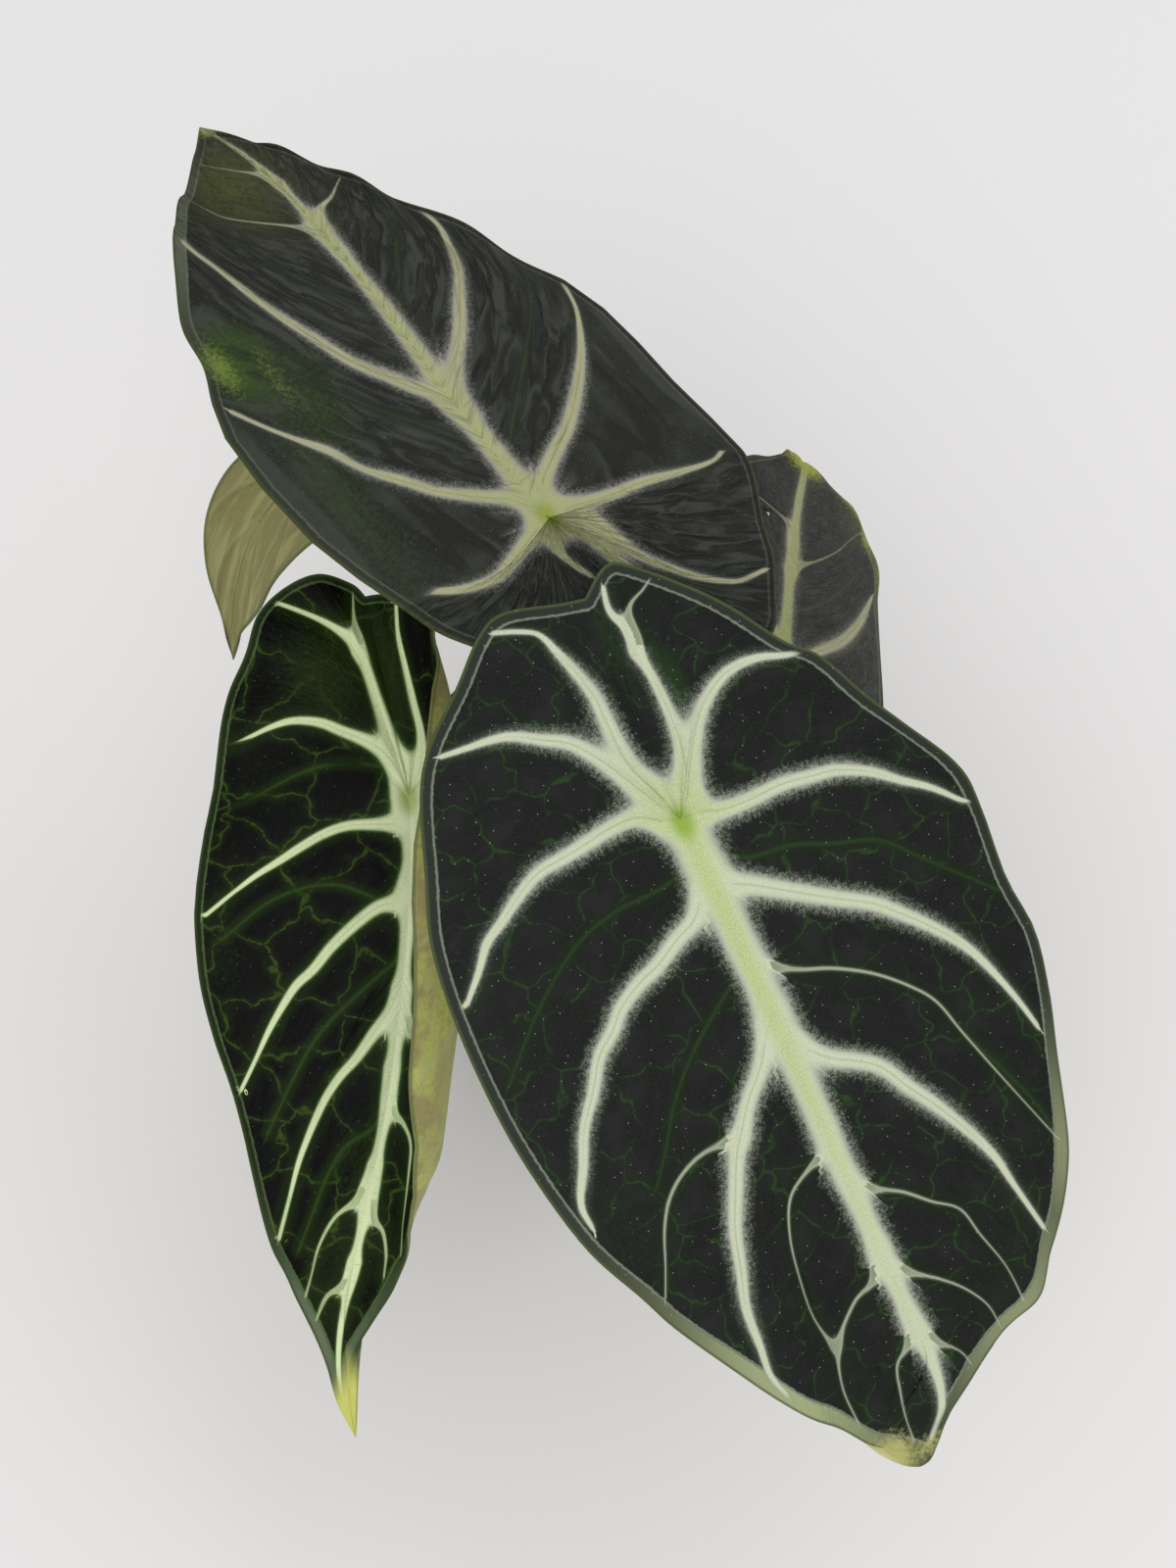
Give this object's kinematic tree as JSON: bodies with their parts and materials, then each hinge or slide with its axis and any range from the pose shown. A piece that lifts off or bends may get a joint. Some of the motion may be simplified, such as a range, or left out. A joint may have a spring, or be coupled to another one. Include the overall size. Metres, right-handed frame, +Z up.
{
  "type": "potted foliage plant",
  "caption": "Small foliage plant with broad dark velvety leaves and silvery veins, standing in a round plastic nursery pot of potting mix.",
  "frame": {"origin": "middle of the pot's flat base", "axes": "+Z up; the front leaf hangs toward -Y"},
  "size_m": [0.1692, 0.2408, 0.1694],
  "materials": {
    "pot": "satin",
    "soil": "rough",
    "corm": "matte",
    "stalk": "satin",
    "velvet": "velvet",
    "satin": "satin",
    "pale": "matte"
  },
  "bodies": {
    "root": {"pot": "pot", "soil": "soil", "corm": "corm", "front_leaf_stalk": "stalk", "front_leaf_blade": "velvet", "upper_leaf_stalk": "stalk", "upper_leaf_blade": "velvet", "left_leaf_stalk": "stalk", "left_leaf_blade": "satin", "right_leaf_stalk": "stalk", "right_leaf_blade": "velvet", "far_leaf_stalk": "stalk", "far_leaf_blade": "pale"}
  },
  "joints": []
}
